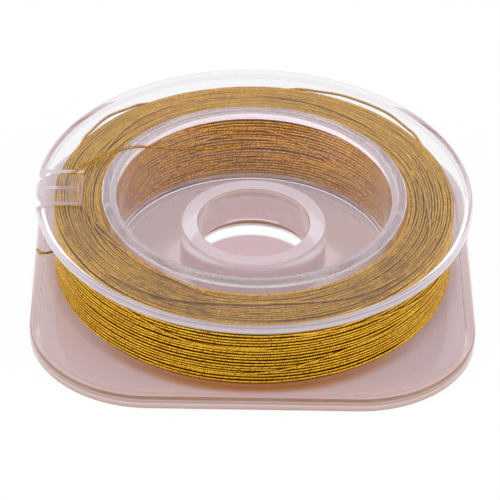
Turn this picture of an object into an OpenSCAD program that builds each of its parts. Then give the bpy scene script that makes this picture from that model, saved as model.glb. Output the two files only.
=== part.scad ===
// Clear thread spool: a rounded-square base moulding with the hub and its centre boss,
// a round flange moulding whose sleeve is pushed over the hub, a flexing thread lock in
// the flange's edge, and metallic thread wound between the two mouldings.
// Millimetres. The origin is the centre of the plane that the base stands on, +Z is the
// spool's axis, and the thread lock faces -X.

/* [Base moulding] */
// Width of the rounded-square base, flat to flat
base_w = 60.6; // [60.4:0.2:66]
// Radius of the base's corners, seen from above
base_corner_r = 16.3; // [12:0.1:20]
// Height of the base's outer edge
base_h = 2.1; // [2:0.1:2.6]
// Thickness of the skirt that the base stands on
skirt_t = 0.9; // [0.7:0.1:1.2]
// Thickness of the plate, the hub floor and the hub's wall
wall_t = 0.8; // [0.6:0.1:0.8]
// Height of the plate's top face, where the thread starts
plate_top = 1.85; // [1.7:0.05:1.9]
// Height of the hub floor's top face
floor_top = 2.4; // [2.3:0.1:2.8]
// Inner radius of the hub
hub_r = 18.95; // [18.5:0.05:19]
// Radius of the centre boss
boss_r = 10.1; // [9.5:0.1:11]
// Height of the centre boss above the table
boss_h = 8.6; // [7:0.1:10]
// Radius of the spindle hole through the boss
bore_r = 7.7; // [6.5:0.1:8]

/* [Flange moulding] */
// Radius of the round flange
flange_r = 30; // [29.5:0.1:30.2]
// Height of the flange's top face above the table, the spool's full height
spool_h = 13.9; // [13.9:0.1:16]
// Thickness of the flange's web
web_t = 0.6; // [0.5:0.05:0.6]
// Thickness of the flange's outer edge
edge_t = 1.6; // [1.5:0.1:1.8]
// Width of the thick, rounded edge
edge_w = 0.8; // [0.8:0.1:1.2]
// Thickness of the sleeve that is pushed over the hub
sleeve_t = 1.07; // [0.9:0.01:1.1]

/* [Thread lock] */
// Width of the notch in the flange's edge
notch_w = 8.6; // [8:0.1:9]
// Distance from the axis to the notch's inner end
notch_x = 23.5; // [23.3:0.1:23.7]
// Width of the tongue in the notch
tongue_w = 6.4; // [5.8:0.1:6.4]
// Length of the tongue's rounded nose
nose_l = 2.8; // [2:0.1:3.2]
// Width of the slot along the tongue's middle
slot_w = 0.9; // [0.6:0.1:1.2]

/* [Thread] */
// Diameter of the thread
thread_d = 0.4; // [0.35:0.05:0.45]
// Outer radius of the wound thread
wound_r = 27.6; // [27:0.1:28]
// Number of turns in the outer layer
turns = 11; // [4:1:11]

/* [Hidden] */
$fn = 96;

edge_round = 0.45;      // round on the base's outer top edge
bead_w = 0.95;          // flat top of the raised edge
bead_run = 2.0;         // where the raised edge has sloped down to the plate
rim_depth = 3.2;        // how far the swept rim reaches in under the plate
foot_round = 0.15;      // bevel at the foot of the skirt
hub_plate_r = 24;       // the turned hub's own disc of plate
step_r = 18.2;          // where the underside steps up below the hub floor
hub_h = spool_h - 0.3;  // top of the hub's wall, just inside the flange
fit_gap = 0.03;         // clearance between the hub and the sleeve
lip_r = 0.3;            // round on the boss and the hub's mouth
flare_h = 1.6;          // height of the lead-in under the spindle hole
flare_w = 0.9;          // how far the lead-in widens

sleeve_r0 = hub_r + wall_t + fit_gap;
sleeve_r1 = sleeve_r0 + sleeve_t;
web_bottom = spool_h - web_t;
edge_turn = 0.7;        // round on the flange's edge, above and below
notch_top_cut = 2;      // overshoot of the cutting block

tongue_gap = 0.05;      // clearance at the tongue's root
root_r = web_t / 2;
pivot_x = -(notch_x + root_r + tongue_gap);
pivot_z = spool_h - root_r;
nose_x = -(flange_r - 0.1);
bead_l = 0.9;           // length of the thick lip at the tongue's nose
bead_d = 0.4;
slot_x0 = nose_x + bead_l;          // where the slot ends, behind the lip
slot_x1 = pivot_x - root_r - 0.15;  // and just in front of the root

core_gap = 0.02;
core_top = 12.4;
turn_r = wound_r - thread_d / 2;
rings_per_turn = 24;
turn_sides = 6;
turn_steps = turns * rings_per_turn;
// The core clears the flat facets of the turns round it.
core_r = turn_r * cos(180 / rings_per_turn) - thread_d / 2 - core_gap;
turn_z0 = plate_top + thread_d / 2 + 0.05;
turn_z1 = core_top - 0.05;
pitch = (turn_z1 - turn_z0) / turns;
end_angle = 176;        // where the last turn leaves the winding, in degrees from +X

// The cut end of the thread, from the last turn out over the base's edge.
end_route = [
    [-27.6, 1.4, 2.15], [-28.1, 0.9, 2.2], [-28.7, 0.5, 2.3],
    [-29.3, 0.4, 2.34], [-29.8, 0.7, 2.34], [-30.0, 1.2, 2.34]
];

// The thread's other end: from the winding along the hub, under the tongue, up through
// the notch, over the flange and down inside the hub.
tail_route = [
    [-6.4, -21.8, 12.68], [-8.8, -20.3, 12.68], [-11.2, -18.5, 12.68], [-13.8, -16.4, 12.68],
    [-16.3, -13.8, 12.68], [-18.6, -10.7, 12.68], [-20.8, -7.5, 12.68], [-22.5, -4.8, 12.68],
    [-23.8, -2.7, 12.68], [-25.0, -0.8, 12.68], [-25.9, 0.9, 12.7], [-26.3, 2.4, 12.75],
    [-26.0, 3.6, 13.1], [-25.3, 3.8, 13.6], [-24.7, 3.85, 13.95], [-24.2, 4.15, 14.22],
    [-23.4, 5.0, 14.25], [-22.3, 6.05, 14.18], [-20.7, 7.35, 14.17], [-18.7, 8.75, 14.17],
    [-16.9, 9.6, 14.12], [-15.0, 10.5, 13.6], [-11.8, 12.2, 12.2], [-8.2, 14.2, 10.75],
    [-4.6, 16.3, 9.55], [-2.0, 17.75, 9.0], [-0.8, 18.4, 8.95]
];
tail_sides = 8;
tail_steps = 3;         // rings between two route points

// Points of an arc about c, from angle a0 to a1 in n steps.
function arc(c, r, a0, a1, n) =
    [for (i = [0:n]) let (a = a0 + (a1 - a0) * i / n) [c[0] + r * cos(a), c[1] + r * sin(a)]];

// A point on the smooth curve through a, b, c and d, t of the way from b to c.
function on_curve(a, b, c, d, t) =
    0.5 * (2 * b + (c - a) * t + (2 * a - 5 * b + 4 * c - d) * t * t
        + (3 * b - a - 3 * c + d) * t * t * t);

// The smooth curve through all of a route's points, n steps to each stretch.
function smooth(p, n) = let (last = len(p) - 1) concat(
    [for (i = [0:last - 1], k = [0:n - 1])
        on_curve(p[max(i - 1, 0)], p[i], p[i + 1], p[min(i + 2, last)], k / n)],
    [p[last]]);

function unit(v) = v / norm(v);

// The direction of a path at its point i.
function heading(p, i) = unit(p[min(i + 1, len(p) - 1)] - p[max(i - 1, 0)]);

function path_length(p) = len(p) < 2 ? 0 : [for (i = [1:len(p) - 1]) norm(p[i] - p[i - 1])]
    * [for (i = [1:len(p) - 1]) 1];

// The winding's outer layer, from its top turn down to the cut end.
function turn_point(i) = let (a = end_angle - 360 * i / rings_per_turn)
    [turn_r * cos(a), turn_r * sin(a), turn_z0 + pitch * i / rings_per_turn];

function turns_path() = concat([for (i = [turn_steps:-1:0]) turn_point(i)], end_route);

// The least gap between points of a path that lie half a turn or more apart.
function self_gap(p, apart) = min([for (i = [0:len(p) - 1 - apart], j = [i + apart:len(p) - 1])
    norm(p[i] - p[j])]) - thread_d;

// A round tube of radius r and n sides that follows the path p.
module tube(p, r, n) {
    last = len(p) - 1;
    skin = [for (i = [0:last], k = [0:n - 1])
        let (t = heading(p, i), side = unit(cross(t, [0, 0, 1])), up = cross(side, t))
        p[i] + r * (cos(360 * (k + 0.5) / n) * side + sin(360 * (k + 0.5) / n) * up)];
    walls = [for (i = [0:last - 1], k = [0:n - 1])
        let (a = i * n + k, b = i * n + (k + 1) % n) each [[a, b, b + n], [a, b + n, a + n]]];
    cap_a = [for (k = [1:n - 2]) [0, k + 1, k]];
    cap_b = [for (k = [1:n - 2]) [last * n, last * n + k, last * n + k + 1]];
    polyhedron(points = skin, faces = [for (f = concat(walls, cap_a, cap_b)) [f[0], f[2], f[1]]]);
}

// A square with round corners, made of true arcs.
module rounded_square(w, r) {
    square([w, w - 2 * r], center = true);
    square([w - 2 * r, w], center = true);
    for (sx = [-1, 1], sy = [-1, 1]) translate([sx * (w / 2 - r), sy * (w / 2 - r)]) circle(r);
}

// The section of the base's edge: skirt, rounded top, and the slope down to the plate.
// x is measured out from the corner's centre.
module rim_section() {
    edge = base_corner_r;
    top = concat(
        arc([edge - edge_round, base_h - edge_round], edge_round, 0, 90, 5),
        [[edge - bead_w, base_h], [edge - bead_run, plate_top], [edge - rim_depth, plate_top]]);
    under = [
        [edge - rim_depth, plate_top - wall_t], [edge - skirt_t, plate_top - wall_t],
        [edge - skirt_t, foot_round], [edge - skirt_t + foot_round, 0],
        [edge - foot_round, 0], [edge, foot_round]
    ];
    polygon(concat(top, under));
}

// The edge's section swept round the four corners and along the four sides.
module base_rim() {
    inset = base_w / 2 - base_corner_r;
    for (q = [0:3]) rotate(90 * q) {
        translate([inset, inset]) rotate_extrude(angle = 90) rim_section();
        translate([inset, inset, 0]) rotate([90, 0, 0]) linear_extrude(2 * inset) rim_section();
    }
}

// Hub floor, hub wall and centre boss, turned as one profile.
module hub_turning() {
    top_in = [hub_r + lip_r, hub_h - lip_r];
    wall_r1 = hub_r + wall_t;
    floor_under = floor_top - wall_t;
    rotate_extrude() polygon(concat(
        [[bore_r + flare_w, floor_under], [step_r, floor_under], [step_r, plate_top - wall_t],
            [hub_plate_r, plate_top - wall_t], [hub_plate_r, plate_top], [wall_r1, plate_top],
            [wall_r1, hub_h - 0.1], [wall_r1 - 0.1, hub_h]],
        arc(top_in, lip_r, 90, 180, 4),
        arc([hub_r - lip_r, floor_top + lip_r], lip_r, 0, -90, 4),
        arc([boss_r + lip_r, floor_top + lip_r], lip_r, 270, 180, 4),
        arc([boss_r - lip_r, boss_h - lip_r], lip_r, 0, 90, 4),
        arc([bore_r + 0.2, boss_h - 0.2], 0.2, 90, 180, 3),
        [[bore_r, floor_under + flare_h]]));
}

module base_moulding() {
    color([0.85, 0.79, 0.81, 0.5]) {
        base_rim();
        hub_turning();
        translate([0, 0, plate_top - wall_t]) linear_extrude(wall_t) difference() {
            rounded_square(base_w - 2 * rim_depth + 1, base_corner_r - rim_depth + 0.5);
            circle(hub_plate_r - 1);
        }
    }
}

// The flange with its thick, rounded edge and the sleeve, less the notch for the lock.
module top_flange() {
    edge_bottom = spool_h - edge_t;
    color([0.88, 0.84, 0.88, 0.5]) difference() {
        rotate_extrude() polygon(concat(
            [[sleeve_r0, plate_top], [sleeve_r1, plate_top]],
            arc([sleeve_r1 + lip_r, web_bottom - lip_r], lip_r, 180, 90, 4),
            [[flange_r - edge_w, web_bottom], [flange_r - edge_w, edge_bottom + 0.1]],
            arc([flange_r - edge_turn, edge_bottom + edge_turn], edge_turn, -90, 0, 6),
            arc([flange_r - edge_turn, spool_h - edge_turn], edge_turn, 0, 90, 6),
            arc([sleeve_r0 + 0.2, spool_h - 0.2], 0.2, 90, 180, 3)));
        translate([-flange_r - notch_top_cut, -notch_w / 2, web_bottom - notch_top_cut])
            cube([flange_r + notch_top_cut - notch_x, notch_w, web_t + 2 * notch_top_cut]);
    }
}

// The tongue's outline from above: straight sides and a rounded nose.
module tongue_outline() {
    nose_root = nose_x + nose_l;
    nose = [for (a = [90:7.5:270]) [nose_root + nose_l * cos(a), tongue_w / 2 * sin(a)]];
    polygon(concat(nose, [[pivot_x, -tongue_w / 2], [pivot_x, tongue_w / 2]]));
}

// The lock's tongue. Its round root lies on the axis about which it flexes.
module lock_tongue() {
    color([0.88, 0.84, 0.88, 0.5]) {
        translate([0, 0, web_bottom]) linear_extrude(web_t) difference() {
            tongue_outline();
            translate([slot_x0, -slot_w / 2]) square([slot_x1 - slot_x0, slot_w]);
        }
        translate([pivot_x, 0, pivot_z]) rotate([90, 0, 0])
            cylinder(r = root_r, h = tongue_w, center = true);
        translate([0, 0, web_bottom - bead_d]) linear_extrude(bead_d + 0.1) intersection() {
            tongue_outline();
            translate([nose_x, -tongue_w / 2]) square([bead_l, tongue_w]);
        }
    }
}

// The inner layers of thread, as one plain ring under the outer turns.
module thread_core() {
    color([0.55, 0.38, 0.1]) rotate_extrude() polygon([
        [sleeve_r1 + core_gap, plate_top], [core_r, plate_top], [core_r, core_top - 0.3],
        [core_r - 0.3, core_top], [sleeve_r1 + core_gap, core_top]]);
}

// The outer layer: one unbroken thread, and its cut end on the base.
module thread_turns() {
    path = turns_path();
    echo(str("least gap of the turns to themselves, mm: ", self_gap(path, rings_per_turn / 2)));
    color([0.83, 0.62, 0.17]) tube(path, thread_d / 2, turn_sides);
}

// The thread's free end, from the winding through the lock and into the hub.
module thread_tail() {
    path = smooth(tail_route, tail_steps);
    echo(str("length of the tail, mm: ", path_length(path)));
    color([0.83, 0.62, 0.17]) tube(path, thread_d / 2, tail_sides);
}

base_moulding();
top_flange();
lock_tongue();
thread_core();
thread_turns();
thread_tail();
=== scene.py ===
import math

import bmesh
import bpy
from mathutils import Matrix, Vector


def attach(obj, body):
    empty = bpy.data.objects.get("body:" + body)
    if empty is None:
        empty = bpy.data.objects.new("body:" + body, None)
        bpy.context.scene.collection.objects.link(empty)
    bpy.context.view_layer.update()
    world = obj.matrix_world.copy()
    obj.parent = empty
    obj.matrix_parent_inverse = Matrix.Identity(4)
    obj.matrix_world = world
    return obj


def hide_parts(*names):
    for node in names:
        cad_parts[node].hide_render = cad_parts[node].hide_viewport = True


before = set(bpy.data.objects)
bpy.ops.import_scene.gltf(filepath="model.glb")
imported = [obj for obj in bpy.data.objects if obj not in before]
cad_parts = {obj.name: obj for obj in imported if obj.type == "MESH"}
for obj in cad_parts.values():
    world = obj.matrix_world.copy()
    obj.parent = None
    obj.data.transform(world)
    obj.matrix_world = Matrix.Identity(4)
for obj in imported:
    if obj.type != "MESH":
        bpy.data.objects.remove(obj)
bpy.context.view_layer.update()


# ---- Camera ----------------------------------------------------------------------------
# A long lens, half a metre off, looks down at the spool from the front with a slight lean.
# The spool lies square to the frame's axes, with its thread lock on the left.
mm = 0.001
camera_distance = 469.8 * mm
looks_down = math.radians(37.42)
stands_left = math.radians(0.98)
leans = math.radians(1.5)
aims_above = math.radians(0.367)
aims_left = math.radians(0.039)


def add_object(name, data):
    """An object in the scene that holds this data."""
    made = bpy.data.objects.new(name, data)
    bpy.context.collection.objects.link(made)
    return made


camera_data = bpy.data.cameras.new("camera")
camera_data.sensor_width = 36
camera_data.lens = 242.2
camera_data.clip_start = 0.01
camera_data.clip_end = 20
camera = add_object("camera", camera_data)
camera_line = Matrix.Rotation(-stands_left, 4, "Z") @ Matrix.Rotation(math.pi / 2 - looks_down, 4, "X")
camera_place = camera_line @ Matrix.Translation((0, 0, camera_distance))
camera_turn = (Matrix.Rotation(leans, 4, "Z") @ Matrix.Rotation(aims_left, 4, "Y")
               @ Matrix.Rotation(aims_above, 4, "X"))
camera.matrix_world = camera_place @ camera_turn
bpy.context.scene.camera = camera
bpy.context.scene.view_settings.view_transform = "Standard"


# ---- Free end of the thread ------------------------------------------------------------
# Gold film wrapped round a fine core, under half a millimetre thick in all. It leaves the winding
# beside the hub, passes under the lock's tongue, comes up through the notch and lies down
# across the hub's mouth to its cut tip against the hub's wall.
thread_thick = 0.4 * mm
free_end_route = [Vector(point) * mm for point in (
    (-6.4, -21.8, 12.68), (-8.8, -20.3, 12.68), (-11.2, -18.5, 12.68), (-13.8, -16.4, 12.68),
    (-16.3, -13.8, 12.68), (-18.6, -10.7, 12.68), (-20.8, -7.5, 12.68), (-22.5, -4.8, 12.68),
    (-23.8, -2.7, 12.68), (-25.0, -0.8, 12.68), (-25.9, 0.9, 12.7), (-26.3, 2.4, 12.75),
    (-26.0, 3.6, 13.1), (-25.3, 3.8, 13.6), (-24.7, 3.85, 13.95), (-24.2, 4.15, 14.22),
    (-23.4, 5.0, 14.25), (-22.3, 6.05, 14.18), (-20.7, 7.35, 14.17), (-18.7, 8.75, 14.17),
    (-16.9, 9.6, 14.12), (-15.0, 10.5, 13.6), (-11.8, 12.2, 12.2), (-8.2, 14.2, 10.75),
    (-4.6, 16.3, 9.55), (-2.0, 17.75, 9.0), (-0.8, 18.4, 8.95))]


def smooth(route, steps):
    """Points of the smooth curve through all of a route's points, steps of them to each stretch."""
    last = len(route) - 1
    points = []
    for i in range(last):
        a, b, c, d = route[max(i - 1, 0)], route[i], route[i + 1], route[min(i + 2, last)]
        for k in range(steps):
            t = k / steps
            points.append(0.5 * (2 * b + (c - a) * t + (2 * a - 5 * b + 4 * c - d) * t * t
                                 + (3 * b - a - 3 * c + d) * t * t * t))
    return points + [route[last]]


def wire(tree, node, feeds):
    """Feeds a node's inputs, each by its name or number, with a socket or a value."""
    for name, feed in feeds.items():
        if isinstance(feed, bpy.types.NodeSocket):
            tree.links.new(feed, node.inputs[name])
        else:
            node.inputs[name].default_value = feed


def put(tree, kind, feeds=None, **settings):
    """Adds a node with its settings and feeds its inputs."""
    made = tree.nodes.new(kind)
    for name, value in settings.items():
        setattr(made, name, value)
    wire(tree, made, feeds or {})
    return made


def calc(tree, operation, *terms):
    """The result of one sum on up to three terms, in a geometry or a material tree."""
    return put(tree, "ShaderNodeMath", dict(enumerate(terms)), operation=operation).outputs[0]


def axes(tree, vector):
    """A vector's X, Y and Z."""
    return put(tree, "ShaderNodeSeparateXYZ", {0: vector}).outputs


def new_tree(name, inputs):
    """A Geometry Nodes tree with these named inputs. Returns it, its input sockets and its output."""
    tree = bpy.data.node_groups.new(name, "GeometryNodeTree")
    for label, kind in inputs.items():
        tree.interface.new_socket(name=label, in_out="INPUT", socket_type="NodeSocket" + kind)
    tree.interface.new_socket(name="Geometry", in_out="OUTPUT", socket_type="NodeSocketGeometry")
    fed = put(tree, "NodeGroupInput").outputs
    return tree, fed, put(tree, "NodeGroupOutput").inputs["Geometry"]


def make_plain(made):
    """Turns what an object's modifiers make into its own plain mesh."""
    depsgraph = bpy.context.evaluated_depsgraph_get()
    plain = bpy.data.meshes.new_from_object(made.evaluated_get(depsgraph))
    made.modifiers.clear()
    made.data = plain
    return made


def grow(name, tree, values, seed_mesh=None):
    """An object whose plain mesh is what the tree makes with these values for its inputs."""
    made = add_object(name, seed_mesh or bpy.data.meshes.new(name))
    modifier = made.modifiers.new(tree.name, "NODES")
    modifier.node_group = tree
    for socket in tree.interface.items_tree:
        if socket.in_out == "INPUT" and socket.name in values:
            modifier[socket.identifier] = values[socket.name]
    return make_plain(made)


def line_mesh(name, routes):
    """A mesh of open lines, one through the points of each route."""
    points = []
    edges = []
    for route in routes:
        edges += [(len(points) + i, len(points) + i + 1) for i in range(len(route) - 1)]
        points += route
    mesh = bpy.data.meshes.new(name)
    mesh.from_pydata(points, edges, [])
    return mesh


# The tree that spins thread along lines. It keeps where each point lies round the thread, as a
# cosine and a sine, and along it, in metres, for the film's wraps.
spin_tree, fed, spun = new_tree("Spun thread", {
    "Line": "Geometry", "Thickness": "Float", "Sides": "Int", "Wrap pitch": "Float",
    "Wrap height": "Float", "Starts": "Float", "Material": "Material"})
spin_line = put(spin_tree, "GeometryNodeMeshToCurve", {"Mesh": fed["Line"]})
spin_along = put(spin_tree, "GeometryNodeCaptureAttribute", {"Geometry": spin_line.outputs[0]})
spin_along.capture_items.new("FLOAT", "Along")
spline_length = put(spin_tree, "GeometryNodeSplineParameter").outputs["Length"]
wire(spin_tree, spin_along, {"Along": spline_length})
half_thick = calc(spin_tree, "MULTIPLY", fed["Thickness"], 0.5)
spin_ring = put(spin_tree, "GeometryNodeCurvePrimitiveCircle",
                {"Resolution": fed["Sides"], "Radius": half_thick})
spin_round = put(spin_tree, "GeometryNodeCaptureAttribute", {"Geometry": spin_ring.outputs["Curve"]})
spin_round.capture_items.new("VECTOR", "Round")
ring_position = put(spin_tree, "GeometryNodeInputPosition").outputs[0]
unit_round = put(spin_tree, "ShaderNodeVectorMath", {0: ring_position}, operation="NORMALIZE").outputs[0]
wire(spin_tree, spin_round, {"Round": unit_round})
tube = put(spin_tree, "GeometryNodeCurveToMesh", {
    "Curve": spin_along.outputs["Geometry"], "Profile Curve": spin_round.outputs["Geometry"],
    "Fill Caps": True})
round_parts = axes(spin_tree, spin_round.outputs["Round"])
lay = put(spin_tree, "ShaderNodeCombineXYZ", {
    "X": round_parts["X"], "Y": round_parts["Y"], "Z": spin_along.outputs["Along"]})
stored = put(spin_tree, "GeometryNodeStoreNamedAttribute", {
    "Geometry": tube.outputs[0], "Name": "lay", "Value": lay.outputs[0]},
    data_type="FLOAT_VECTOR", domain="POINT")
round_turn = calc(spin_tree, "ARCTAN2", round_parts["Y"], round_parts["X"])
along_turn = calc(spin_tree, "DIVIDE", spin_along.outputs["Along"], fed["Wrap pitch"])
wrap_turn = calc(spin_tree, "MULTIPLY_ADD", along_turn, 2 * math.pi,
                 calc(spin_tree, "MULTIPLY", round_turn, fed["Starts"]))
wrap_lift = calc(spin_tree, "MULTIPLY", calc(spin_tree, "COSINE", wrap_turn), fed["Wrap height"])
outwards = put(spin_tree, "GeometryNodeInputNormal").outputs[0]
wrap_offset = put(spin_tree, "ShaderNodeVectorMath", {0: outwards, "Scale": wrap_lift}, operation="SCALE")
lifted = put(spin_tree, "GeometryNodeSetPosition", {
    "Geometry": stored.outputs[0], "Offset": wrap_offset.outputs[0]})
shaded = put(spin_tree, "GeometryNodeSetShadeSmooth", {"Geometry": lifted.outputs[0]})
real = put(spin_tree, "GeometryNodeRealizeInstances", {"Geometry": shaded.outputs[0]})
dressed = put(spin_tree, "GeometryNodeSetMaterial", {
    "Geometry": real.outputs[0], "Material": fed["Material"]})
spin_tree.links.new(dressed.outputs[0], spun)


def ease(tree, value, start, end, low=0.0, high=1.0, kind="LINEAR"):
    """Goes from low to high as the value goes from start to end, and is held past them."""
    return put(tree, "ShaderNodeMapRange", {
        "Value": value, "From Min": start, "From Max": end, "To Min": low, "To Max": high},
        interpolation_type=kind).outputs[0]


def mix_colours(tree, share, first, second):
    """The first colour, turning into the second as the share goes from 0 to 1."""
    return put(tree, "ShaderNodeMix", {0: share, 6: first, 7: second}, data_type="RGBA").outputs[2]


def patches(tree, place, scale, detail=2.0):
    """A value from 0 to 1 that drifts from place to place, with scale of its patches to a metre."""
    return put(tree, "ShaderNodeTexNoise", {"Vector": place, "Scale": scale, "Detail": detail}).outputs[0]


def new_material(name):
    """A material. Returns it, its tree, its main shader and the place on the piece."""
    material = bpy.data.materials.new(name)
    material.use_nodes = True
    tree = material.node_tree
    return material, tree, tree.nodes["Principled BSDF"], put(tree, "ShaderNodeTexCoord").outputs["Object"]


# The film goes round the core in one open helix. Each turn of it glints on its own, and a brown
# line of core shows between one turn and the next.
wrap_pitch = 0.38 * mm
wrap_height = 0.012 * mm
# The core's brown is also the colour of the painted shade in the winding's hollows and on its turns' flanks.
core_and_shade_brown = (0.14, 0.052, 0.006, 1)


def gold_film(name, deep, bright, seam_share, painted_shade=None):
    """Metallic film thread, read from the lay attribute. Its film runs from a deep to a bright gold. The last
    argument, when given, is painted shade laid on in the core's brown: from 0 on the winding's skin to 1
    between turns and on their flanks."""
    material, tree, shader, place = new_material(name)
    lay_parts = axes(tree, put(tree, "ShaderNodeAttribute", attribute_name="lay").outputs["Vector"])
    turn = calc(tree, "ARCTAN2", lay_parts["Y"], lay_parts["X"])
    slip = put(tree, "ShaderNodeTexNoise", {"W": calc(tree, "MULTIPLY", lay_parts["Z"], 260.0)},
               noise_dimensions="1D").outputs[0]
    wraps = calc(tree, "MULTIPLY_ADD", turn, 1 / (2 * math.pi), calc(
        tree, "MULTIPLY_ADD", slip, 3.0, calc(tree, "DIVIDE", lay_parts["Z"], wrap_pitch)))
    from_middle = calc(tree, "ABSOLUTE", calc(tree, "MULTIPLY_ADD", calc(tree, "FRACT", wraps), 2, -1))
    seam = ease(tree, from_middle, 0.5, 0.95, kind="SMOOTHSTEP")
    glint = put(tree, "ShaderNodeTexWhiteNoise", {"W": calc(tree, "FLOOR", wraps)},
                noise_dimensions="1D").outputs["Value"]
    drift = patches(tree, place, 260.0)
    brightness = calc(tree, "MULTIPLY_ADD", glint, 0.5, calc(tree, "MULTIPLY", drift, 0.55))
    core_and_shade_share = calc(tree, "MULTIPLY", seam, seam_share)
    # Painted shade: the same brown is also painted where the winding lies in shade.
    if painted_shade:
        core_and_shade_share = calc(tree, "MAXIMUM", core_and_shade_share, calc(tree, "MULTIPLY", painted_shade(tree, place), 0.95))
    swell = calc(tree, "SUBTRACT", 1.0, calc(tree, "POWER", from_middle, 3.0))
    bump = put(tree, "ShaderNodeBump", {"Height": swell, "Strength": 0.7, "Distance": 0.03 * mm})
    wire(tree, shader, {
        "Base Color": mix_colours(tree, core_and_shade_share, mix_colours(tree, brightness, deep, bright), core_and_shade_brown),
        "Roughness": calc(tree, "MULTIPLY_ADD", glint, -0.14, 0.42),
        "Normal": bump.outputs[0], "Metallic": 0.9})
    return material


# Painted shade: this copy of the thread's gold, for the free end and the cut end, is painted far darker than
# the winding's copy of the same thread.
gold_thread = gold_film("gold_film_thread", (0.26, 0.12, 0.008, 1), (0.80, 0.42, 0.035, 1), 0.9)
free_end = grow("free_end", spin_tree, {
    "Thickness": thread_thick - 0.05 * mm, "Sides": 12, "Wrap pitch": wrap_pitch, "Wrap height": wrap_height,
    "Starts": 1.0, "Material": gold_thread}, line_mesh("free_end", [smooth(free_end_route, 36)]))
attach(free_end, "spool")
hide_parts("thread_tail")


# ---- Base moulding ---------------------------------------------------------------------
# One injection moulding in clear, faintly rose plastic: the rounded-square base with a skirt
# that it stands on, the hub's wall and floor, and the centre boss with the spindle hole.
base_half = 30.3 * mm
base_corner = 16.3 * mm
flat_steps = 20
corner_steps = 28

# The section's heights and radii, in millimetres.
base_high = 2.1
edge_round = 0.45
rim_reach = 3.2
skirt_thick = 0.9
foot_round = 0.15
plate_top = 1.85
plate_under = 1.05
plate_reach = 24
hub_outer = 19.75
hub_inner = 18.95
hub_high = 13.6
floor_top = 2.4
floor_under = 1.6
boss_outer = 10.1
boss_high = 8.6
hole_wide = 7.7
step_wide = 18.2
mould_round = 0.3


def bend(centre, radius, start, end, steps):
    """Points of an arc in a section, from start to end in degrees."""
    return [(centre[0] + radius * math.cos(math.radians(start + (end - start) * i / steps)),
             centre[1] + radius * math.sin(math.radians(start + (end - start) * i / steps)))
            for i in range(steps + 1)]


def base_outline():
    """Points round the base's outer edge, each with its outward direction."""
    inset = base_half - base_corner
    around = []
    for side in range(4):
        turn = Matrix.Rotation(side * math.pi / 2, 2)
        for i in range(flat_steps):
            along = -inset + 2 * inset * i / flat_steps
            around.append((turn @ Vector((base_half, along)), turn @ Vector((1, 0))))
        for i in range(corner_steps):
            angle = math.pi / 2 * i / corner_steps
            out = Vector((math.cos(angle), math.sin(angle)))
            around.append((turn @ (Vector((inset, inset)) + base_corner * out), turn @ out))
    return around


def face_outwards(mesh):
    """Turns all faces of a closed mesh outwards."""
    sheet = bmesh.new()
    sheet.from_mesh(mesh)
    bmesh.ops.recalc_face_normals(sheet, faces=sheet.faces)
    sheet.to_mesh(mesh)
    sheet.free()


def ring_mesh(name, rings):
    """A closed mesh from rings of points, each ring a whole section and the last joined to the first."""
    mesh = bpy.data.meshes.new(name)
    count = len(rings)
    size = len(rings[0])
    faces = [(i * size + j, i * size + (j + 1) % size, (i + 1) % count * size + (j + 1) % size,
              (i + 1) % count * size + j) for i in range(count) for j in range(size)]
    mesh.from_pydata([point for ring in rings for point in ring], [], faces)
    face_outwards(mesh)
    return mesh


def finish_moulding(name, mesh, materials, modifiers=(), finish_of=None):
    """Shades a moulding's mesh so that its flats stay flat and its rounds stay round. finish_of
    tells which of the materials a face takes, by its number."""
    made = add_object(name, mesh)
    for kind, settings in (*modifiers, ("WEIGHTED_NORMAL", {"weight": 50, "keep_sharp": True})):
        modifier = made.modifiers.new(kind.lower(), kind)
        for key, value in settings.items():
            setattr(modifier, key, value)
    mesh.polygons.foreach_set("use_smooth", [True] * len(mesh.polygons))
    make_plain(made)
    made.data.materials.clear()
    for material in materials:
        made.data.materials.append(material)
    for face in made.data.polygons:
        face.material_index = finish_of(face) if finish_of else 0
    return made


# The edge's section is measured inwards from the outline, the hub's outwards from the axis.
base_edge_section = (
    [(0, foot_round), (0, 0.8)] + bend((edge_round, base_high - edge_round), edge_round, 180, 90, 6)
    + [(0.95, base_high), (1.0, base_high - 0.005), (1.95, plate_top + 0.007), (2.0, plate_top),
       (2.1, plate_top), (rim_reach, plate_top)])
base_hub_section = (
    [(plate_reach, plate_top), (hub_outer + 0.2, plate_top)]
    + bend((hub_outer + 0.1, plate_top + 0.1), 0.1, -90, -180, 3)
    + [(hub_outer, 8), (hub_outer, hub_high - 0.15), (hub_outer - 0.05, hub_high - 0.04),
       (hub_outer - 0.15, hub_high)]
    + bend((hub_inner + mould_round, hub_high - mould_round), mould_round, 90, 180, 6)
    + [(hub_inner, 8), (hub_inner, 3.2)]
    + bend((hub_inner - mould_round, floor_top + mould_round), mould_round, 0, -90, 6)
    + [(17.6, floor_top), (12, floor_top)]
    + bend((boss_outer + mould_round, floor_top + mould_round), mould_round, 270, 180, 6)
    + [(boss_outer, 5.5)]
    + bend((boss_outer - mould_round, boss_high - mould_round), mould_round, 0, 90, 6)
    + [(hole_wide + 1.2, boss_high)] + bend((hole_wide + 0.2, boss_high - 0.2), 0.2, 90, 180, 5)
    + [(hole_wide, 5.5), (hole_wide, 3.3), (hole_wide + 0.04, 3.1)]
    + [(8.5, floor_under + 0.1), (8.6, floor_under + 0.02), (8.75, floor_under), (12, floor_under),
       (step_wide - 0.2, floor_under), (step_wide - 0.06, floor_under - 0.04), (step_wide, 1.45)]
    + [(step_wide, 1.15), (step_wide + 0.06, plate_under + 0.02), (step_wide + 0.2, plate_under),
       (plate_reach, plate_under)])
base_under_section = [
    (rim_reach, plate_under), (skirt_thick + 0.2, plate_under), (skirt_thick + 0.05, 1.0),
    (skirt_thick, 0.85), (skirt_thick, foot_round), (skirt_thick - foot_round, 0), (foot_round, 0)]

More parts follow.
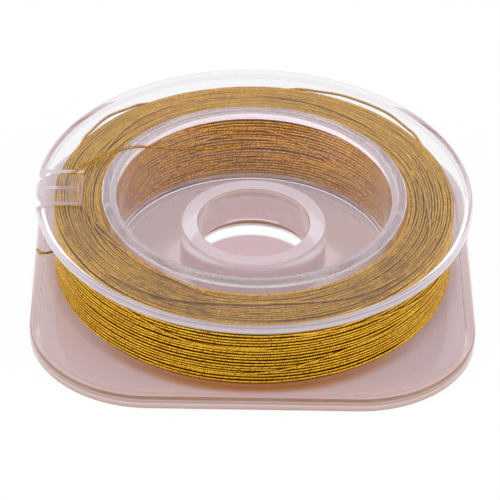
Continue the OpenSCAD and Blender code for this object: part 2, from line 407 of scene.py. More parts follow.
base_rings = []
for edge_point, out in base_outline():
    way = (edge_point - out * rim_reach * mm).normalized()
    ring = [(*(edge_point - out * inset * mm), height * mm) for inset, height in base_edge_section]
    ring += [(*(way * radius * mm), height * mm) for radius, height in base_hub_section]
    ring += [(*(edge_point - out * inset * mm), height * mm) for inset, height in base_under_section]
    base_rings.append(ring)


def let_light_by(tree, shader, lets_through):
    """Lets lamplight pass straight through, tinted, so that the thread and the table are lit."""
    open_to_light = put(tree, "ShaderNodeBsdfTransparent", {"Color": lets_through})
    shadow_ray = put(tree, "ShaderNodeLightPath").outputs["Is Shadow Ray"]
    either = put(tree, "ShaderNodeMixShader", {
        0: shadow_ray, 1: shader.outputs[0], 2: open_to_light.outputs[0]})
    wire(tree, tree.nodes["Material Output"], {"Surface": either.outputs[0]})


def from_axis(tree, parts):
    """How far a place is from the spool's axis."""
    return calc(tree, "SQRT", calc(tree, "MULTIPLY_ADD", parts["X"], parts["X"], calc(
        tree, "MULTIPLY", parts["Y"], parts["Y"])))


# Painted reflection: the plate's tint takes the gold of the winding's outer face close beside it, most at the
# front.
gold_reflection_radius = 27.5 * mm


def clear_plastic(name, low_tints, painted_reflection, high_tint, lets_through, bending):
    """Clear moulded plastic. Its tint drifts between the low tints in the flat plate, takes a painted
    reflection of the gold thread close beside it, and thins to the high one up the walls. Its polish is
    softly waved."""
    material, tree, shader, place = new_material(name)
    parts = axes(tree, place)
    drift_share = ease(tree, patches(tree, place, 55.0, 1.5), 0.35, 0.65)
    plate_tint = mix_colours(tree, drift_share, *low_tints)
    from_thread = calc(tree, "ABSOLUTE", calc(tree, "SUBTRACT", from_axis(tree, parts), gold_reflection_radius))
    in_front = ease(tree, parts["Y"], -16 * mm, -27 * mm, 0.2, 0.95)
    beside_thread = calc(tree, "MULTIPLY", in_front, ease(
        tree, from_thread, 0.3 * mm, 1.8 * mm, 1.0, 0.0, "SMOOTHSTEP"))
    reflecting_tint = mix_colours(tree, beside_thread, plate_tint, painted_reflection)
    height = ease(tree, parts["Z"], 2.45 * mm, 3.6 * mm)
    bump = put(tree, "ShaderNodeBump", {
        "Height": patches(tree, place, 180.0, 1.0), "Strength": 0.02, "Distance": 0.05 * mm})
    wire(tree, shader, {
        "Base Color": mix_colours(tree, height, reflecting_tint, high_tint),
        "Roughness": calc(tree, "MULTIPLY", patches(tree, place, 500.0, 3.0), 0.05),
        "Normal": bump.outputs[0], "Transmission Weight": 1, "IOR": bending})
    let_light_by(tree, shader, lets_through)
    return material


def fill_ramp(tree, value, stops):
    """A colour that goes through the stops, each a place from 0 to 1 and its colour."""
    ramp = put(tree, "ShaderNodeValToRGB", {0: value})
    elements = ramp.color_ramp.elements
    while len(elements) < len(stops):
        elements.new(1.0)
    for element, (stop, colour) in zip(elements, stops):
        element.position = stop
        element.color = colour
    return ramp.outputs[0]


def painted_lines_colour(tree, place, painted_lines, back_colour=None):
    """A wall's colour as painted lines of highlight, reflected gold and shade, one over another, each given
    by its height in millimetres. They fade to the back colour on the side away from the front."""
    lowest = painted_lines[0][0]
    highest = painted_lines[-1][0]
    parts = axes(tree, place)
    height = ease(tree, parts["Z"], lowest * mm, highest * mm)
    shown = fill_ramp(tree, height, [
        ((level - lowest) / (highest - lowest), colour) for level, colour in painted_lines])
    if back_colour:
        to_back = ease(tree, parts["Y"], -22 * mm, 6 * mm)
        shown = mix_colours(tree, to_back, shown, back_colour)
    return shown


def satin_wall(name, lets_through, clearness, colours=None, painted_lines=None, back_colour=None):
    """The edges and walls that the mould leaves satin: partly clear, partly milky. They are mottled in two
    colours, or painted in lines of highlight, reflected gold and shade, by height."""
    material, tree, shader, place = new_material(name)
    mottle = patches(tree, place, 320.0)
    wire(tree, shader, {
        "Base Color": (painted_lines_colour(tree, place, painted_lines, back_colour) if painted_lines
                       else mix_colours(tree, mottle, *colours)),
        "Roughness": calc(tree, "MULTIPLY_ADD", mottle, 0.2, 0.08),
        "Transmission Weight": clearness, "IOR": 1.5})
    polished = put(tree, "ShaderNodeBsdfPrincipled", {
        "Base Color": (0.97, 0.95, 0.97, 1), "Roughness": 0.03, "Transmission Weight": 1.0, "IOR": 1.0})
    from_inside = put(tree, "ShaderNodeNewGeometry").outputs["Backfacing"]
    either_side = put(tree, "ShaderNodeMixShader", {
        0: from_inside, 1: shader.outputs[0], 2: polished.outputs[0]})
    let_light_by(tree, either_side, lets_through)
    return material


def base_finish(face):
    """0 for the polished faces, 1 for the hole's wall and the boss's top, 2 for the skirt, 3 for the
    boss's outer wall, 4 for the flat top of the hub's wall."""
    x, y, z = face.center / mm
    inset = (base_half - base_corner) / mm
    from_edge = base_corner / mm - math.hypot(max(abs(x) - inset, 0), max(abs(y) - inset, 0))
    if from_edge < skirt_thick + 0.25 and z > 0.1:
        return 2
    out = math.hypot(x, y)
    if boss_outer - 0.15 < out < boss_outer + mould_round and z > floor_top + 0.1:
        return 3
    if hub_inner + 0.25 < out < hub_outer - 0.03 and z > hub_high - 0.1:
        return 4
    on_hole = hole_wide - 0.1 < out < hole_wide + 0.9 and z > floor_under + 0.02
    return 1 if on_hole or out < boss_outer - 0.15 and z > boss_high - 0.6 else 0


# The third colour is the painted reflection of the gold thread in the base plate.
rose_clear = clear_plastic("clear_rose_plastic", ((0.67, 0.53, 0.525, 1), (0.63, 0.52, 0.55, 1)),
                           (0.52, 0.21, 0.05, 1), (0.98, 0.94, 0.96, 1), (0.96, 0.91, 0.93, 1), 1.38)
# Painted highlights and reflected gold: white and brown lines at the bore's foot and at the boss's top edge,
# over the wall's rose.
rose_satin = satin_wall("satin_rose_wall", (0.93, 0.9, 0.91, 1), 0.55, painted_lines=(
    (1.6, (1.0, 0.99, 1.0, 1)), (2.35, (1.0, 0.98, 0.96, 1)), (2.55, (0.42, 0.22, 0.06, 1)),
    (3.1, (0.45, 0.25, 0.08, 1)), (3.3, (0.86, 0.71, 0.72, 1)),
    (7.0, (0.84, 0.71, 0.73, 1)), (8.0, (0.87, 0.77, 0.81, 1)), (8.2, (1.0, 0.98, 0.95, 1)),
    (8.45, (1.0, 0.97, 0.93, 1)), (8.53, (0.45, 0.26, 0.10, 1)), (8.58, (0.50, 0.32, 0.16, 1)),
    (8.6, (0.86, 0.78, 0.83, 1))))
# Painted reflected gold and shade: brown lines along the base's skirt and edge, fading to a pale rose at the
# back.
rose_edge = satin_wall("satin_rose_edge", (0.93, 0.9, 0.91, 1), 0.3, painted_lines=(
    (0.0, (0.74, 0.62, 0.58, 1)), (0.3, (0.50, 0.35, 0.29, 1)), (0.7, (0.48, 0.34, 0.31, 1)),
    (0.9, (0.56, 0.44, 0.42, 1)), (1.2, (0.34, 0.20, 0.15, 1)), (1.5, (0.42, 0.31, 0.29, 1)),
    (1.7, (0.25, 0.12, 0.07, 1)), (1.98, (0.26, 0.13, 0.08, 1)), (2.06, (0.56, 0.40, 0.40, 1)),
    (2.1, (0.58, 0.42, 0.42, 1))), back_colour=(0.80, 0.70, 0.72, 1))
rose_veil = satin_wall("satin_rose_veil", (0.93, 0.9, 0.91, 1), 0.6,
                       colours=((0.80, 0.68, 0.70, 1), (0.82, 0.71, 0.74, 1)))
fine_matt = satin_wall("fine_matt_rim", (0.96, 0.94, 0.96, 1), 1.0,
                       colours=((0.93, 0.88, 0.93, 1), (0.96, 0.92, 0.96, 1)))
base = finish_moulding("base_shell", ring_mesh("base_shell", base_rings), (
    rose_clear, rose_satin, rose_edge, rose_veil, fine_matt), finish_of=base_finish)
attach(base, "spool")
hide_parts("base_moulding")


# ---- Flange moulding -------------------------------------------------------------------
# A second moulding in clear plastic: the round flange with a stiffened edge, and the sleeve
# under it that is pushed down over the hub. A notch for the thread lock is left in its edge.
flange_steps = 256
# The section's heights and radii, in millimetres.
web_top = 13.9
web_under = 13.3
edge_under = 12.3
edge_inner = 29.2
flange_out = 30
sleeve_inner = 19.78
sleeve_outer = 20.85
sleeve_foot = 1.9
flange_section = (
    [(sleeve_inner + 0.05, sleeve_foot), (sleeve_outer - 0.05, sleeve_foot),
     (sleeve_outer, sleeve_foot + 0.05), (sleeve_outer, web_under - 0.2)]
    + bend((sleeve_outer + 0.1, web_under - 0.1), 0.1, 180, 90, 3)
    + [(22.5, web_under), (edge_inner - 0.3, web_under)]
    + bend((edge_inner - 0.1, web_under - 0.1), 0.1, 90, 0, 2)
    + bend((edge_inner + 0.1, edge_under + 0.1), 0.1, 180, 240, 2)
    + bend((flange_out - 0.6, edge_under + 0.6), 0.6, -90, 0, 8)
    + bend((flange_out - 0.4, web_top - 0.4), 0.4, 0, 90, 8)
    + [(25, web_top), (sleeve_outer + 0.05, web_top), (20.5, web_top)]
    + bend((sleeve_inner + 0.06, web_top - 0.06), 0.06, 90, 180, 3)
    + [(sleeve_inner, web_top - 0.5), (sleeve_inner, sleeve_foot + 0.05)])


def turned(section, steps):
    """Rings of points: a section in millimetres, turned about the spool's axis."""
    angles = [2 * math.pi * i / steps for i in range(steps)]
    return [[(radius * math.cos(angle) * mm, radius * math.sin(angle) * mm, height * mm)
             for radius, height in section] for angle in angles]


def prism(name, near, far):
    """A closed block between two ends, each a ring of as many points."""
    mesh = bpy.data.meshes.new(name)
    n = len(near)
    walls = [(i, (i + 1) % n, (i + 1) % n + n, i + n) for i in range(n)]
    mesh.from_pydata(near + far, [], walls + [tuple(reversed(range(n))), tuple(range(n, 2 * n))])
    face_outwards(mesh)
    return add_object(name, mesh)


def block(name, outline, low, high):
    """A closed block over an outline, from one height to another."""
    return prism(name, [(x, y, low) for x, y in outline], [(x, y, high) for x, y in outline])


def box_outline(x0, x1, half):
    """A rectangle from above, between two places along X and half as far to each side."""
    return [(x0, -half), (x1, -half), (x1, half), (x0, half)]


notch_half = 4.3 * mm
notch_inner = -23.5 * mm
notch_tool = block("notch_tool", box_outline(-32 * mm, notch_inner, notch_half), 11.5 * mm, 15.5 * mm)
clear = clear_plastic("clear_plastic", ((0.97, 0.955, 0.97, 1), (0.96, 0.95, 0.965, 1)),
                      (0.97, 0.955, 0.97, 1), (0.975, 0.965, 0.975, 1), (0.985, 0.98, 0.985, 1), 1.5)
satin = satin_wall("satin_plastic", (0.92, 0.9, 0.93, 1), 0.35,
                   colours=((0.60, 0.55, 0.62, 1), (0.70, 0.64, 0.70, 1)))
# Painted reflections and shade: grey, lavender and brown lines along the flange's outer wall, fading to pale
# lavender at the back.
satin_edge = satin_wall("satin_edge", (0.92, 0.9, 0.93, 1), 0.3, painted_lines=(
    (12.4, (0.33, 0.24, 0.18, 1)), (12.75, (0.46, 0.40, 0.42, 1)), (12.95, (0.66, 0.60, 0.66, 1)),
    (13.15, (0.56, 0.53, 0.60, 1)), (13.45, (0.53, 0.49, 0.56, 1)), (13.55, (0.38, 0.32, 0.37, 1)),
    (13.75, (0.48, 0.42, 0.48, 1)), (13.9, (0.38, 0.32, 0.36, 1))), back_colour=(0.80, 0.70, 0.76, 1))


def flange_finish(face):
    """0 for the polished faces, 1 for the notch and the sleeve's lip, 2 for the edge's outer wall,
    3 for the flat top of the sleeve."""
    x, y, z = face.center / mm
    out = math.hypot(x, y)
    in_notch = abs(y) < notch_half / mm + 0.3 and -flange_out < x < notch_inner / mm + 0.5
    if in_notch and abs(face.normal.z) < 0.5:
        return 1
    if out > flange_out - 0.45:
        return 2
    if out < sleeve_outer + 0.1 and z > web_top - 0.03:
        return 3
    return 1 if out < sleeve_inner + 0.07 and z > web_top - 0.48 else 0


def round_edges(width, segments, least_angle):
    """The bevel that takes the sharpness off a moulding's cut edges."""
    return "BEVEL", {"width": width, "segments": segments, "limit_method": "ANGLE",
                     "angle_limit": math.radians(least_angle), "use_clamp_overlap": True}


flange = finish_moulding(
    "flange_shell", ring_mesh("flange_shell", turned(flange_section, flange_steps)),
    (clear, satin, satin_edge, fine_matt),
    (("BOOLEAN", {"object": notch_tool, "operation": "DIFFERENCE", "solver": "EXACT"}),
     round_edges(0.06 * mm, 2, 50)), flange_finish)
bpy.data.objects.remove(notch_tool)
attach(flange, "spool")
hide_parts("top_flange")


# ---- Painted highlight at the joint between the mouldings ------------------------------
# Painted highlight: a thin white ring fills the hair's breadth where the sleeve grips the top of the hub,
# just under the hub's mouth, as a bright band of light.
band_inner = hub_outer + 0.007
band_outer = sleeve_inner - 0.007
band_low = 12.4
band_high = 13.5
painted_white_band, band_tree, band_shader, band_place = new_material("painted_white_band")
band_grain = patches(band_tree, band_place, 900.0, 3.0)
wire(band_tree, band_shader, {
    "Base Color": mix_colours(band_tree, band_grain, (0.96, 0.95, 0.97, 1), (1.0, 1.0, 1.0, 1)),
    "Roughness": calc(band_tree, "MULTIPLY_ADD", band_grain, 0.3, 0.4)})
painted_highlight_ring = finish_moulding("painted_highlight_ring", ring_mesh("painted_highlight_ring", turned((
    (band_inner, band_low), (band_outer, band_low), (band_outer, band_high), (band_inner, band_high)),
    flange_steps)), (painted_white_band,))
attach(painted_highlight_ring, "spool")


# ---- Thread lock's tongue --------------------------------------------------------------
# Moulded in one with the flange and left free on three sides, so that it flexes at its root
# when thread is slipped under it. A slot eases its flexing and a lip at its nose grips the thread.
tongue_half = 3.2 * mm
tongue_root = -23.85 * mm
tongue_nose = -29.9 * mm
nose_length = 2.8 * mm
tongue_top = web_top * mm
tongue_under = web_under * mm
root_radius = 0.3 * mm
lip_length = 0.9 * mm
lip_depth = 0.4 * mm
lip_overlap = 0.1 * mm
slot_half = 0.45 * mm
slot_outer = -29.0 * mm
slot_inner = -24.3 * mm
slot_overshoot = 1 * mm


def tongue_outline():
    """The tongue from above: straight sides and a rounded nose."""
    nose_start = tongue_nose + nose_length
    nose = [(nose_start - nose_length * math.sin(math.radians(a)),
             tongue_half * math.cos(math.radians(a))) for a in range(0, 181, 5)]
    return nose + [(tongue_root, -tongue_half), (tongue_root, tongue_half)]


root_height = (tongue_top + tongue_under) / 2
root_round = [(tongue_root + root_radius * math.sin(math.radians(a)),
               root_height + root_radius * math.cos(math.radians(a))) for a in range(0, 360, 15)]
root_roll = prism("root_roll", [(x, -tongue_half, z) for x, z in root_round],
                  [(x, tongue_half, z) for x, z in root_round])
tongue_plate = block("tongue_plate", tongue_outline(), tongue_under, tongue_top)
slot_tool = block("slot_tool", box_outline(slot_outer, slot_inner, slot_half),
                  tongue_under - slot_overshoot, tongue_top + slot_overshoot)
lip_outline = [(x, y) for x, y in tongue_outline() if x < tongue_nose + lip_length]
tongue_lip = block("tongue_lip", lip_outline, tongue_under - lip_depth, tongue_under + lip_overlap)
tongue_parts = (root_roll, tongue_lip, slot_tool)
tongue_joins = tuple(("BOOLEAN", {"object": part, "operation": kind, "solver": "EXACT"})
                     for part, kind in zip(tongue_parts, ("UNION", "UNION", "DIFFERENCE")))
hazy = satin_wall("hazy_plastic", (0.95, 0.93, 0.95, 1), 0.85,
                  colours=((0.90, 0.86, 0.91, 1), (0.95, 0.92, 0.95, 1)))
tongue = finish_moulding("tongue", tongue_plate.data, (hazy, satin, satin),
                         tongue_joins + (round_edges(0.07 * mm, 3, 40),), flange_finish)
for part in (tongue_plate, *tongue_parts):
    bpy.data.objects.remove(part)
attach(tongue, "lock")
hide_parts("lock_tongue")


# ---- Winding ---------------------------------------------------------------------------
# The same thread, wound in tight turns until it fills the channel round the hub. The turns
# that show run round all four sides of the winding, over turns that lie a layer deeper.
wind_tree, fed, wound = new_tree("Wound thread", {
    "Turns": "Int", "Rings per turn": "Int", "Inner radius": "Float", "Outer radius": "Float",
    "Bottom": "Float", "Top": "Float", "Shoulder": "Float", "Flow": "Float", "Wander": "Float",
    "Waver": "Float", "Packing": "Float", "Lift": "Float", "Seed": "Float", "Thickness": "Float",
    "Sides": "Int", "Material": "Material"})


def wind(operation, *terms):
    """The result of one sum in the winding's tree."""
    return calc(wind_tree, operation, *terms)


wind_count = wind("MULTIPLY", fed["Turns"], fed["Rings per turn"])
wind_points = wind("ADD", wind_count, 1.0)
wind_line = put(wind_tree, "GeometryNodeMeshLine", {"Count": wind_points}, mode="OFFSET")
wind_index = put(wind_tree, "GeometryNodeInputIndex").outputs[0]
wind_turn = wind("DIVIDE", wind_index, fed["Rings per turn"])
wind_share = wind("DIVIDE", wind_index, wind_points)
wind_angle = wind("MULTIPLY", wind_turn, 2 * math.pi)
cos_angle = wind("COSINE", wind_angle)
sin_angle = wind("SINE", wind_angle)
section_width = wind("SUBTRACT", fed["Outer radius"], fed["Inner radius"])
section_height = wind("SUBTRACT", fed["Top"], fed["Bottom"])
middle_radius = wind("MULTIPLY_ADD", section_width, 0.5, fed["Inner radius"])
middle_height = wind("MULTIPLY_ADD", section_height, 0.5, fed["Bottom"])
# The section is widened before the turns are spread round it, and narrowed again after, because
# the turns lie closer on its top and bottom than on its sides.
section = put(wind_tree, "GeometryNodeCurvePrimitiveQuadrilateral", {
    "Width": wind("MULTIPLY", section_width, fed["Packing"]), "Height": section_height})
rounded = put(wind_tree, "GeometryNodeFilletCurve", {
    "Curve": section.outputs[0], "Count": 6, "Radius": fed["Shoulder"], "Limit Radius": True}, mode="POLY")
on_section = put(wind_tree, "GeometryNodeSampleCurve", {
    "Curves": rounded.outputs[0], "Factor": wind_share}, mode="FACTOR", use_all_curves=True)
section_place = axes(wind_tree, on_section.outputs["Position"])
section_way = axes(wind_tree, on_section.outputs["Tangent"])


def wander(turn_rate, round_rate, seed_shift):
    """A smooth random value from -1 to 1 along the thread: how fast it changes from one turn to the
    next, and round each turn."""
    spot = put(wind_tree, "ShaderNodeCombineXYZ", {
        "X": wind("MULTIPLY", cos_angle, round_rate), "Y": wind("MULTIPLY", sin_angle, round_rate),
        "Z": wind("MULTIPLY", wind_turn, turn_rate)})
    noise = put(wind_tree, "ShaderNodeTexNoise", {
        "Vector": spot.outputs[0], "W": wind("ADD", fed["Seed"], seed_shift),
        "Scale": 1.0, "Detail": 1.0}, noise_dimensions="4D")
    return wind("MULTIPLY_ADD", noise.outputs[0], 2.0, -1.0)


flow = wind("MULTIPLY", wander(0.13, 0.6, 0.0), fed["Flow"])
own = wind("MULTIPLY", wander(5.3, 1.7, 11.0), fed["Wander"])
waver = wind("MULTIPLY", wander(9.1, 6.5, 31.0), fed["Waver"])
sideways = wind("ADD", flow, wind("ADD", own, waver))
lift = wind("MULTIPLY", wander(4.7, 2.2, 23.0), fed["Lift"])
out_of_line = wind("ADD", wind("MULTIPLY", section_way["X"], sideways),
                   wind("MULTIPLY", section_way["Y"], lift))
up_from_line = wind("SUBTRACT", wind("MULTIPLY", section_way["Y"], sideways),
                    wind("MULTIPLY", section_way["X"], lift))
turn_radius = wind("ADD", out_of_line, wind(
    "ADD", wind("DIVIDE", section_place["X"], fed["Packing"]), middle_radius))
turn_height = wind("ADD", wind("ADD", middle_height, section_place["Y"]), up_from_line)
wind_place = put(wind_tree, "ShaderNodeCombineXYZ", {
    "X": wind("MULTIPLY", cos_angle, turn_radius), "Y": wind("MULTIPLY", sin_angle, turn_radius),
    "Z": turn_height})
wound_line = put(wind_tree, "GeometryNodeSetPosition", {
    "Geometry": wind_line.outputs[0], "Position": wind_place.outputs[0]})
spin_group = put(wind_tree, "GeometryNodeGroup", node_tree=spin_tree)
wire(wind_tree, spin_group, {
    "Line": wound_line.outputs[0], "Thickness": fed["Thickness"], "Sides": fed["Sides"],
    "Material": fed["Material"], "Wrap pitch": wrap_pitch, "Wrap height": 0, "Starts": 1})
wound_real = put(wind_tree, "GeometryNodeRealizeInstances", {"Geometry": spin_group.outputs[0]})
wound_dressed = put(wind_tree, "GeometryNodeSetMaterial", {
    "Geometry": wound_real.outputs[0], "Material": fed["Material"]})
wind_tree.links.new(wound_dressed.outputs[0], wound)

# The faces of the winding's skin.
wound_inner = 21.16 * mm
wound_outer = 27.52 * mm
wound_bottom = 1.94 * mm
wound_top = 12.43 * mm
turn_thick = 0.37 * mm


def painted_winding_shade(tree, place):
    """Painted shade for the winding, from 0 to 1: most deep under the winding's skin and on its own turn's
    flank, and in patches of the top under the flange, most at the front; little next to the hub.
    """
    parts = axes(tree, place)
    radius = from_axis(tree, parts)
    normal = axes(tree, put(tree, "ShaderNodeTexCoord").outputs["Normal"])
    outward = calc(tree, "DIVIDE", calc(tree, "MULTIPLY_ADD", normal["X"], parts["X"], calc(
        tree, "MULTIPLY", normal["Y"], parts["Y"])), radius)
    # Each face of the skin, by a point's depth under it and how squarely the point faces it.
    sides = (
        (calc(tree, "SUBTRACT", wound_outer, radius), outward),
        (calc(tree, "SUBTRACT", radius, wound_inner), calc(tree, "MULTIPLY", outward, -1)),
        (calc(tree, "SUBTRACT", wound_top, parts["Z"]), normal["Z"]),
        (calc(tree, "SUBTRACT", parts["Z"], wound_bottom), calc(tree, "MULTIPLY", normal["Z"], -1)))
    depth = sides[0][0]
    for side in sides[1:]:
        depth = calc(tree, "MINIMUM", depth, side[0])
    facing = 0.0
    for distance, squareness in sides:
        nearness = ease(tree, calc(tree, "SUBTRACT", distance, depth), 0.0, 0.35 * mm, 1.0, 0.0)
        facing = calc(tree, "MAXIMUM", facing, calc(tree, "MULTIPLY", nearness, squareness))
    flank = ease(tree, facing, 0.95, 0.6, 0.0, 0.9, "SMOOTHSTEP")
    deep = ease(tree, depth, 0.06 * mm, 0.24 * mm, kind="SMOOTHSTEP")
    off_hub = ease(tree, radius, wound_inner + 0.3 * mm, wound_inner + 0.7 * mm, 0.05, 1.0)
    # Painted shade: patches of the top layer under the flange, most of them at the front, are painted brown,
    # as if short gaps showed the turns beneath.
    around = calc(tree, "MULTIPLY", calc(tree, "ARCTAN2", parts["Y"], parts["X"]), 8.5 * mm)
    gap_place = put(tree, "ShaderNodeCombineXYZ", {"X": around, "Y": radius}).outputs[0]
    gappiness = calc(tree, "ADD", patches(tree, gap_place, 2000.0, 1.0), patches(tree, place, 190.0))
    painted_gap = ease(tree, gappiness, 1.02, 1.2, 0.0, 0.85)
    at_front = ease(tree, parts["Y"], 4 * mm, -22 * mm, 0.4, 1.0)
    under_flange = ease(tree, parts["Z"], wound_top - 0.5 * mm, wound_top - 0.2 * mm)
    steep = ease(tree, facing, 0.98, 0.8)
    top_shade = calc(tree, "MULTIPLY", under_flange, calc(
        tree, "MULTIPLY", at_front, calc(tree, "MAXIMUM", painted_gap, steep)))
    shade = calc(tree, "MAXIMUM", top_shade, calc(tree, "MAXIMUM", deep, flank))
    return calc(tree, "MULTIPLY", off_hub, shade)


def skin_at(depth):
    """The faces that turns run along, this deep under the winding's skin."""
    return {"Inner radius": wound_inner + depth, "Outer radius": wound_outer - depth,
            "Bottom": wound_bottom + depth, "Top": wound_top - depth}


# Painted light: the winding's copy of the same gold is painted far brighter than the free end's, and takes
# painted shade in its hollows.
wound_gold = gold_film("wound_gold_thread", (0.68, 0.33, 0.014, 1), (1.0, 0.60, 0.035, 1), 0.8,
                       painted_winding_shade)
outer_turns = grow("outer_turns", wind_tree, {
    "Turns": 74, "Rings per turn": 168, **skin_at(turn_thick / 2), "Shoulder": 0.4 * mm,
    "Flow": 0.35 * mm, "Wander": 0.17 * mm, "Waver": 0.09 * mm, "Packing": 1.35, "Lift": 0.09 * mm,
    "Seed": 3.0, "Thickness": turn_thick, "Sides": 8, "Material": wound_gold})
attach(outer_turns, "spool")
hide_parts("thread_turns")

# The deeper turns are a little thicker than the thread, so that no light comes through.
inner_turns = grow("inner_turns", wind_tree, {
    "Turns": 66, "Rings per turn": 150, **skin_at(0.55 * mm), "Shoulder": 0.3 * mm,
    "Flow": 0.3 * mm, "Wander": 0.15 * mm, "Waver": 0.1 * mm, "Packing": 1.35, "Lift": 0.05 * mm,
    "Seed": 8.0, "Thickness": 0.46 * mm, "Sides": 6, "Material": wound_gold})
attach(inner_turns, "spool")
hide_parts("thread_core")


# ---- Stray turns and the cut end -------------------------------------------------------
# A few late turns lie across the others at a shallow slant or stand off from the winding.
# The thread's finishing end is cut short and sticks out over the base's edge.
def stray(start, end, radii, heights):
    """A route round the winding, from start to end in degrees, through these radii and heights."""
    points = []
    steps = max(12, int(abs(end - start) / 2))
    for i in range(steps + 1):
        t = i / steps
        where = t * (len(radii) - 1)
        k = min(int(where), len(radii) - 2)
        ease_in = (where - k) * (where - k) * (3 - 2 * (where - k))
        radius = radii[k] + (radii[k + 1] - radii[k]) * ease_in
        height = heights[k] + (heights[k + 1] - heights[k]) * ease_in
        angle = math.radians(start + (end - start) * t)
        points.append(Vector((radius * math.cos(angle), radius * math.sin(angle), height)) * mm)
    return points


# Three ways to lie: over the top, round the outer face, and round the inner face by the hub.
over_top = (11.9, 12.5, 12.5, 11.9)
round_outside = (27.0, 27.55, 27.55, 27.0)
round_inside = (21.5, 21.06, 21.06, 21.5)
stray_routes = [
    stray(86, 24, (26.9, 27.5, 27.9, 28.0, 27.6, 26.8), (11.9, 12.5, 12.7, 12.7, 12.5, 11.8)),
    stray(158, 118, (26.9, 27.6, 27.9, 27.6, 26.9), (11.9, 12.4, 12.6, 12.4, 11.8)),
    stray(175, 262, (24.4, 22.8, 21.5, 21.6, 23.5), (12.0, 12.55, 12.5, 12.5, 11.9)),
    stray(200, 300, (26.7, 26.0, 24.0, 23.0), (11.9, 12.55, 12.55, 11.9)),
    stray(240, 345, (22.4, 23.8, 25.8, 26.9), over_top),
    stray(300, 395, (26.8, 25.5, 23.5, 22.0), over_top),
    stray(20, 110, (22.0, 23.8, 24.6, 26.0), over_top),
    stray(100, 185, (25.8, 24.6, 23.2, 22.0), over_top),
    stray(188, 290, round_outside, (11.0, 10.6, 8.2, 7.6)),
    stray(225, 345, round_outside, (3.2, 4.0, 6.4, 7.2)),
    stray(262, 368, round_outside, (10.6, 9.8, 8.0, 7.4)),
    stray(30, 160, round_outside, (4.2, 5.2, 8.4, 9.6)),
    stray(186, 84, round_inside, (2.6, 4.6, 8.6, 10.2)),
    stray(176, 66, round_inside, (2.4, 3.6, 6.8, 7.6)),
    stray(196, 112, round_inside, (3.6, 6.6, 10.6, 11.6)),
    stray(160, 48, round_inside, (2.6, 3.0, 5.0, 6.2)),
    stray(126, 12, round_inside, (10.6, 10.0, 6.4, 5.0)),
    stray(98, -10, round_inside, (8.4, 7.8, 4.2, 3.2)),
    stray(70, -20, round_inside, (5.2, 6.4, 9.8, 11.0)),
]
stray_turns = grow("stray_turns", spin_tree, {
    "Thickness": 0.38 * mm, "Sides": 8, "Wrap pitch": wrap_pitch, "Wrap height": 0.0,
    "Starts": 1.0, "Material": wound_gold}, line_mesh("stray_turns", stray_routes))
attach(stray_turns, "spool")

cut_end_route = [Vector(point) * mm for point in (
    (-27.2, 2.2, 2.1), (-27.6, 1.4, 2.15), (-28.1, 0.9, 2.2), (-28.7, 0.5, 2.3), (-29.3, 0.4, 2.37),
    (-29.8, 0.7, 2.37), (-30.0, 1.2, 2.37))]
cut_end = grow("cut_end", spin_tree, {
    "Thickness": turn_thick, "Sides": 10, "Wrap pitch": wrap_pitch, "Wrap height": wrap_height,
    "Starts": 1.0, "Material": gold_thread}, line_mesh("cut_end", [smooth(cut_end_route, 12)]))
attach(cut_end, "spool")


# ---- Floor and light -------------------------------------------------------------------
# A white sheet of card with painted light and shade under the spool, under a pale sky, and three large soft
# lamps: one on the left, one on the right and a weaker one in front.
floor_reach = 3.0
floor_height = -0.02 * mm
floor_mesh = bpy.data.meshes.new("floor")
floor_mesh.from_pydata([(-floor_reach, -floor_reach, floor_height), (floor_reach, -floor_reach, floor_height),
                        (floor_reach, floor_reach, floor_height), (-floor_reach, floor_reach, floor_height)],
                       [], [(0, 1, 2, 3)])
floor = add_object("floor", floor_mesh)

card, card_tree, card_shader, card_place = new_material("white_card")
card_parts = axes(card_tree, card_place)
card_white = mix_colours(card_tree, patches(card_tree, card_place, 400.0),
                         (0.93, 0.93, 0.93, 1), (0.95, 0.95, 0.95, 1))
card_glow = put(card_tree, "ShaderNodeEmission", {"Color": (1, 1, 1, 1), "Strength": 1.0})
card_path = put(card_tree, "ShaderNodeLightPath").outputs
mirrored = calc(card_tree, "MAXIMUM", card_path["Is Glossy Ray"], card_path["Is Transmission Ray"])
seen_white = calc(card_tree, "MAXIMUM", card_path["Is Camera Ray"], mirrored)
# The card is all but plain white round the spool; under it less white is mixed in, so that the spool's own
# shade shows. Painted light: it is lighter under the hub and in a ring round the hole. Painted shade: in the
# hole it is painted a shaded rose, with no white mixed in.
fourths = calc(card_tree, "ADD", calc(card_tree, "POWER", calc(card_tree, "ABSOLUTE", card_parts["X"]), 4),
               calc(card_tree, "POWER", calc(card_tree, "ABSOLUTE", card_parts["Y"]), 4))
clear_of_spool = ease(card_tree, calc(card_tree, "POWER", fourths, 0.25), 27 * mm, 31 * mm, 0.42, 0.93)
card_radius = from_axis(card_tree, card_parts)
painted_light_under_hub = ease(card_tree, card_radius, 21.5 * mm, 18.5 * mm, 0.0, 0.17)
painted_light_by_hole = ease(card_tree, card_radius, 13.0 * mm, 11.5 * mm, 0.0, 0.4)
in_hole = ease(card_tree, card_radius, 8.9 * mm, 8.4 * mm)
round_hole = calc(card_tree, "ADD", clear_of_spool, calc(card_tree, "ADD", painted_light_under_hub, painted_light_by_hole))
shown_share = calc(card_tree, "MULTIPLY", round_hole, calc(card_tree, "SUBTRACT", 1.0, in_hole))
wire(card_tree, card_shader, {
    "Base Color": mix_colours(card_tree, in_hole, card_white, (0.80, 0.65, 0.69, 1)),
    "Roughness": 0.9, "Specular IOR Level": 0.0})
card_mix = put(card_tree, "ShaderNodeMixShader", {
    0: calc(card_tree, "MULTIPLY", seen_white, shown_share),
    1: card_shader.outputs[0], 2: card_glow.outputs[0]})
wire(card_tree, card_tree.nodes["Material Output"], {"Surface": card_mix.outputs[0]})
floor_mesh.materials.append(card)

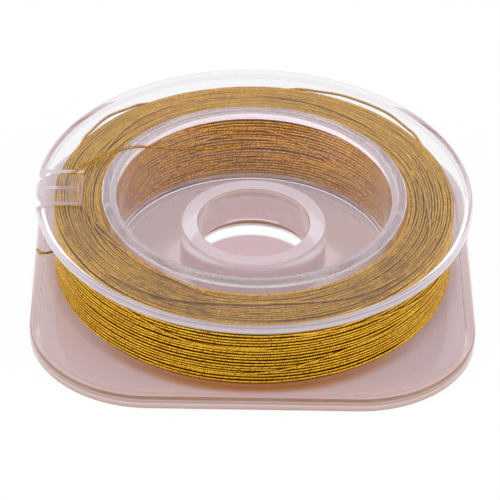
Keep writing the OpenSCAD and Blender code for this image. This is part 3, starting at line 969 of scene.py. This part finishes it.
# The sky lights the spool as a pale dome with a dimmer band. It is plain white where it is seen
# straight or through the plastic, and half white low down where it is mirrored.
world = bpy.data.worlds.new("studio")
bpy.context.scene.world = world
world.use_nodes = True
sky_tree = world.node_tree
sky = sky_tree.nodes["Background"]
sky_way = axes(sky_tree, put(sky_tree, "ShaderNodeTexCoord").outputs["Generated"])
sky_colour = fill_ramp(sky_tree, sky_way["Z"], (
    (0.0, (0.50, 0.485, 0.50, 1)), (0.42, (0.36, 0.355, 0.36, 1)), (0.66, (0.36, 0.355, 0.36, 1)),
    (0.92, (0.85, 0.83, 0.84, 1))))
sky_strength = ease(sky_tree, sky_way["Y"], -0.9, 0.1, 1.12, 1.08)
wire(sky_tree, sky, {"Color": sky_colour, "Strength": sky_strength})
white_sky = put(sky_tree, "ShaderNodeBackground", {"Color": (0.97, 0.96, 0.99, 1), "Strength": 1.0})
sky_path = put(sky_tree, "ShaderNodeLightPath").outputs
seen_straight = calc(sky_tree, "MAXIMUM", sky_path["Is Camera Ray"], sky_path["Is Transmission Ray"])
upwards = ease(sky_tree, sky_way["Z"], 0.0, 0.8, kind="SMOOTHSTEP")
mirrored_white = calc(sky_tree, "MULTIPLY", sky_path["Is Glossy Ray"], calc(
    sky_tree, "MULTIPLY_ADD", upwards, -0.5, 0.5))
sky_mix = put(sky_tree, "ShaderNodeMixShader", {
    0: calc(sky_tree, "MAXIMUM", seen_straight, mirrored_white), 1: sky.outputs[0], 2: white_sky.outputs[0]})
wire(sky_tree, sky_tree.nodes["World Output"], {"Surface": sky_mix.outputs[0]})


def soft_lamp(name, place, width, height, power):
    """A large soft lamp that faces the spool."""
    lamp_data = bpy.data.lights.new(name, "AREA")
    lamp_data.shape = "RECTANGLE"
    lamp_data.size = width
    lamp_data.size_y = height
    lamp_data.energy = power
    lamp = add_object(name, lamp_data)
    lamp.location = place
    lamp.rotation_euler = (-Vector(place)).to_track_quat("-Z", "Y").to_euler()


soft_lamp("left_lamp", (-0.74, -0.18, 0.34), 1.5, 0.75, 5.1)
soft_lamp("right_lamp", (0.74, -0.16, 0.36), 1.5, 0.75, 5.1)
soft_lamp("front_lamp", (0, -0.86, 0.62), 1.2, 0.7, 2.4)

# The clear mouldings pass light on many times inside their walls.
light_bounces = 96
bpy.context.scene.cycles.max_bounces = light_bounces
bpy.context.scene.cycles.glossy_bounces = light_bounces
bpy.context.scene.cycles.transmission_bounces = light_bounces
bpy.context.scene.cycles.transparent_max_bounces = 24
